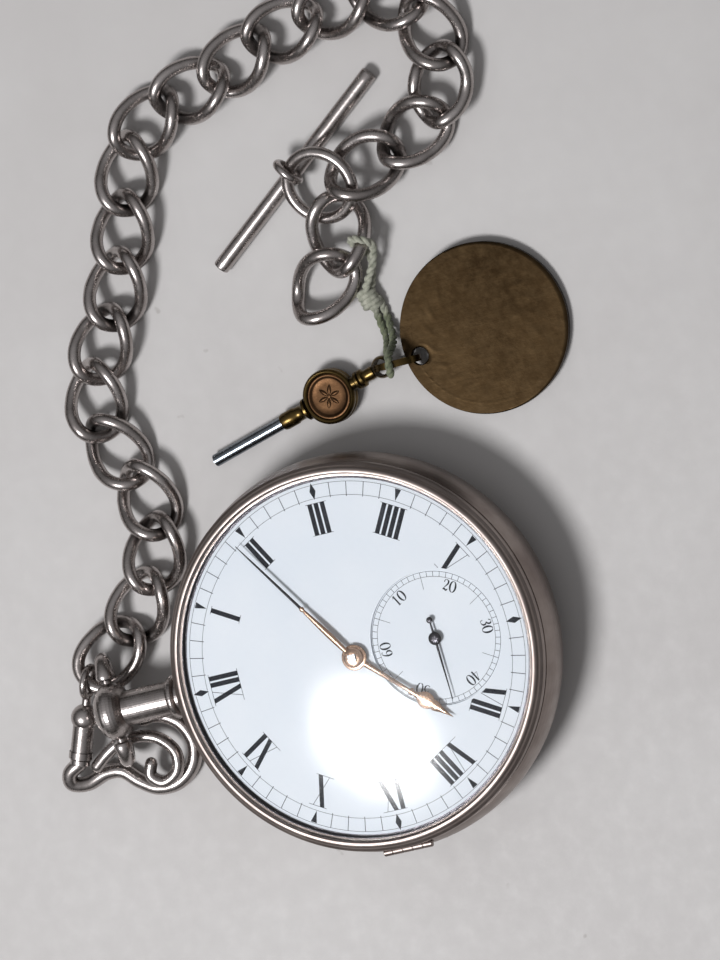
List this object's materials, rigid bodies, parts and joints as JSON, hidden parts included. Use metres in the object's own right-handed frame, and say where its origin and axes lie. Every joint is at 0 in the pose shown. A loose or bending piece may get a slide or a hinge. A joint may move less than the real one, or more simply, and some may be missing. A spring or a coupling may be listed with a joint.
{
  "type": "pocket watch",
  "caption": "Open-face key-wound pocket watch with a white dial, seconds dial and curb chain, toggle bar, winding key and brass token.",
  "frame": {"origin": "centre of the small flat on the case back that the watch rests on", "axes": "+Z along the dial's outward normal, +Y towards twelve o'clock and the pendant, +X towards three o'clock"},
  "size_m": [0.1128, 0.0839, 0.0156],
  "materials": {
    "silver": "worn, tarnished silver",
    "gilt_brass": "gilt and frosted",
    "old_brass": "dark, worn",
    "blued_steel": "heat-blued, polished",
    "steel": "polished",
    "gold": "polished rose gold",
    "enamel": "vitreous enamel, glossy",
    "crystal": "clear domed glass",
    "thread": "twisted cotton thread"
  },
  "bodies": {
    "case": {"case_band": "silver", "pendant": "silver", "hinge_pins": "silver", "front_plate": "gilt_brass", "back_plate": "gilt_brass", "pillars": "gilt_brass", "plate_screws": "blued_steel", "balance_cock": "gilt_brass", "hairspring": "blued_steel", "dial": "enamel", "seconds_dial": "enamel"},
    "bezel_lid": {"bezel": "silver", "crystal": "crystal"},
    "back_lid": {"back_cover": "silver"},
    "dust_lid": {"dust_cover": "silver"},
    "barrel_drum": {"barrel": "gilt_brass", "mainspring": "blued_steel"},
    "winding_arbor": {"barrel_arbor": "steel", "ratchet_wheel": "steel"},
    "click": {"click": "blued_steel"},
    "centre": {"centre_wheel": "gilt_brass", "centre_arbor": "steel", "cannon_pinion": "steel", "minute_hand": "gold"},
    "third": {"third_wheel": "gilt_brass"},
    "fourth": {"fourth_wheel": "gilt_brass", "seconds_hand": "blued_steel"},
    "escape": {"escape_wheel": "gilt_brass"},
    "pallets": {"pallet_fork": "steel"},
    "balance": {"balance_wheel": "gilt_brass"},
    "motion": {"minute_wheel": "gilt_brass"},
    "hours": {"hour_wheel": "gilt_brass", "hour_hand": "gold"},
    "bow": {"bow": "silver"},
    "swivel": {"swivel_barrel": "silver"},
    "hook": {"swivel_hook": "silver"},
    "gate": {"swivel_gate": "silver"},
    "chain_01": {"chain_01": "silver"},
    "chain_02": {"chain_02": "silver"},
    "chain_03": {"chain_03": "silver"},
    "chain_04": {"chain_04": "silver"},
    "chain_05": {"chain_05": "silver"},
    "chain_06": {"chain_06": "silver"},
    "chain_07": {"chain_07": "silver"},
    "chain_08": {"chain_08": "silver"},
    "chain_09": {"chain_09": "silver"},
    "chain_10": {"chain_10": "silver"},
    "ring": {"jump_ring": "silver"},
    "toggle": {"toggle_bar": "silver"},
    "drop_1": {"drop_link_1": "silver"},
    "drop_2": {"drop_link_2": "silver"},
    "fob_ring": {"split_ring": "old_brass", "thread": "thread"},
    "key": {"key_head": "old_brass", "key_medallion": "old_brass", "key_tube": "steel"},
    "token": {"token": "old_brass"}
  },
  "joints": [
    {"name": "bezel_open", "type": "hinge", "parent": "case", "child": "bezel_lid", "pos_m": [-0.02575, 0, 0.01035], "axis": [0, -1, 0], "range_deg": [0, 95]},
    {"name": "back_open", "type": "hinge", "parent": "case", "child": "back_lid", "pos_m": [-0.02575, 0, 0.004], "axis": [0, 1, 0], "range_deg": [0, 95]},
    {"name": "dust_open", "type": "hinge", "parent": "case", "child": "dust_lid", "pos_m": [-0.02575, 0, 0.004], "axis": [0, 1, 0], "range_deg": [0, 85.5]},
    {"name": "centre_turn", "type": "hinge", "parent": "case", "child": "centre", "pos_m": [0, 0, 0.008], "axis": [0, 0, -1], "continuous": true},
    {"name": "barrel_turn", "type": "hinge", "parent": "case", "child": "barrel_drum", "pos_m": [0.00261, 0.00974, 0.006], "axis": [0, 0, -1], "continuous": true},
    {"name": "third_turn", "type": "hinge", "parent": "case", "child": "third", "pos_m": [0.00475, -0.00634, 0.007], "axis": [0, 0, -1], "continuous": true},
    {"name": "fourth_turn", "type": "hinge", "parent": "case", "child": "fourth", "pos_m": [0, -0.0112, 0.007], "axis": [0, 0, -1], "continuous": true},
    {"name": "escape_turn", "type": "hinge", "parent": "case", "child": "escape", "pos_m": [-0.00563, -0.00881, 0.006], "axis": [0, 0, -1], "continuous": true},
    {"name": "motion_turn", "type": "hinge", "parent": "case", "child": "motion", "pos_m": [-0.00453, -0.00211, 0.01], "axis": [0, 0, -1], "continuous": true},
    {"name": "hour_turn", "type": "hinge", "parent": "case", "child": "hours", "pos_m": [0, 0, 0.0105], "axis": [0, 0, -1], "continuous": true},
    {"name": "winding_turn", "type": "hinge", "parent": "case", "child": "winding_arbor", "pos_m": [0.00261, 0.00974, 0.005], "axis": [0, 0, -1], "continuous": true},
    {"name": "click_rock", "type": "hinge", "parent": "case", "child": "click", "pos_m": [0.00721, 0.01294, 0.004], "axis": [0, 0, 1], "range_deg": [0, 15]},
    {"name": "pallet_rock", "type": "hinge", "parent": "case", "child": "pallets", "pos_m": [-0.0081, -0.00529, 0.006], "axis": [0, 0, 1], "range_deg": [-4, 4]},
    {"name": "balance_swing", "type": "hinge", "parent": "case", "child": "balance", "pos_m": [-0.0132, 0.002, 0.005], "axis": [0, 0, 1], "range_deg": [-140, 140]},
    {"name": "bow_fold", "type": "hinge", "parent": "case", "child": "bow", "pos_m": [0, 0.0365, 0.0072], "axis": [1, 0, 0], "range_deg": [0, 130]},
    {"name": "swivel_sway", "type": "hinge", "parent": "bow", "child": "swivel", "pos_m": [0.0056, 0.0385, 0.003], "axis": [0, 0, 1], "range_deg": [-4, 1]},
    {"name": "hook_twist", "type": "hinge", "parent": "swivel", "child": "hook", "pos_m": [0.0044, 0.0404, 0.004], "axis": [-0.9272, 0.3746, 0], "range_deg": [-1, 2]},
    {"name": "gate_open", "type": "hinge", "parent": "hook", "child": "gate", "pos_m": [-0.0069, 0.0424, 0.0037], "axis": [0, 0, 1], "range_deg": [0, 6]},
    {"name": "flex_01", "type": "hinge", "parent": "swivel", "child": "chain_01", "pos_m": [0.005, 0.0399, 0.00345], "axis": [-0.8192, -0.5736, 0], "range_deg": [-6, 6]},
    {"name": "flex_02", "type": "hinge", "parent": "chain_01", "child": "chain_02", "pos_m": [0.01532, 0.02864, 0.0024], "axis": [0.4226, 0.9063, 0], "range_deg": [-12, 12]},
    {"name": "flex_03", "type": "hinge", "parent": "chain_02", "child": "chain_03", "pos_m": [0.02981, 0.02705, 0.0024], "axis": [0.4384, -0.8988, 0], "range_deg": [-12, 12]},
    {"name": "flex_04", "type": "hinge", "parent": "chain_03", "child": "chain_04", "pos_m": [0.04429, 0.02896, 0.0024], "axis": [0.5878, 0.809, 0], "range_deg": [-12, 12]},
    {"name": "flex_05", "type": "hinge", "parent": "chain_04", "child": "chain_05", "pos_m": [0.05753, 0.02124, 0.0024], "axis": [-0.3584, -0.9336, 0], "range_deg": [-12, 12]},
    {"name": "flex_06", "type": "hinge", "parent": "chain_05", "child": "chain_06", "pos_m": [0.072, 0.01598, 0.0024], "axis": [0.848, 0.5299, 0], "range_deg": [-12, 12]},
    {"name": "flex_07", "type": "hinge", "parent": "chain_06", "child": "chain_07", "pos_m": [0.07688, 0.00179, 0.0024], "axis": [-0.891, -0.454, 0], "range_deg": [-12, 12]},
    {"name": "flex_08", "type": "hinge", "parent": "chain_07", "child": "chain_08", "pos_m": [0.08125, -0.01272, 0.0024], "axis": [0.9703, 0.2419, 0], "range_deg": [-12, 12]},
    {"name": "flex_09", "type": "hinge", "parent": "chain_08", "child": "chain_09", "pos_m": [0.07938, -0.02693, 0.0024], "axis": [-0.309, 0.9511, 0], "range_deg": [-6, 6]},
    {"name": "flex_10", "type": "hinge", "parent": "chain_09", "child": "chain_10", "pos_m": [0.06508, -0.02605, 0.0024], "axis": [-0.9272, -0.3746, 0], "range_deg": [-6, 3]},
    {"name": "ring_flex", "type": "hinge", "parent": "chain_10", "child": "ring", "pos_m": [0.05975, -0.01161, 0.004], "axis": [0.9483, 0.3173, 0], "range_deg": [-8, 8]},
    {"name": "toggle_sway", "type": "hinge", "parent": "ring", "child": "toggle", "pos_m": [0.06285, -0.005, 0.004], "axis": [0.5878, -0.809, 0], "range_deg": [-8, 8]},
    {"name": "drop_flex_1", "type": "hinge", "parent": "ring", "child": "drop_1", "pos_m": [0.0572, -0.01005, 0.0029], "axis": [0.1908, 0.9816, 0], "range_deg": [-4, 4]},
    {"name": "drop_flex_2", "type": "hinge", "parent": "drop_1", "child": "drop_2", "pos_m": [0.04964, -0.00858, 0.0027], "axis": [0.829, 0.5592, 0], "range_deg": [-3, 3]},
    {"name": "thread_swing", "type": "hinge", "parent": "drop_1", "child": "fob_ring", "pos_m": [0.0514, -0.0123, 0.0037], "axis": [0, 0, 1], "range_deg": [-1.5, 3]},
    {"name": "key_swing", "type": "hinge", "parent": "fob_ring", "child": "key", "pos_m": [0.0353, -0.0103, 0.0022], "axis": [0, 0, 1], "range_deg": [-15, 8]},
    {"name": "token_swing", "type": "hinge", "parent": "fob_ring", "child": "token", "pos_m": [0.03545, -0.0155, 0.002], "axis": [0, 0, 1], "range_deg": [-15, 6]}
  ],
  "couplings": [
    {"joint": "barrel_turn", "follows": "fourth_turn", "ratio": -0.0027778},
    {"joint": "third_turn", "follows": "fourth_turn", "ratio": -0.13333},
    {"joint": "centre_turn", "follows": "fourth_turn", "ratio": 0.016667},
    {"joint": "escape_turn", "follows": "fourth_turn", "ratio": -8},
    {"joint": "motion_turn", "follows": "fourth_turn", "ratio": -0.0041667},
    {"joint": "hour_turn", "follows": "fourth_turn", "ratio": 0.0013889},
    {"joint": "dust_open", "follows": "back_open", "ratio": 0.9}
  ]
}
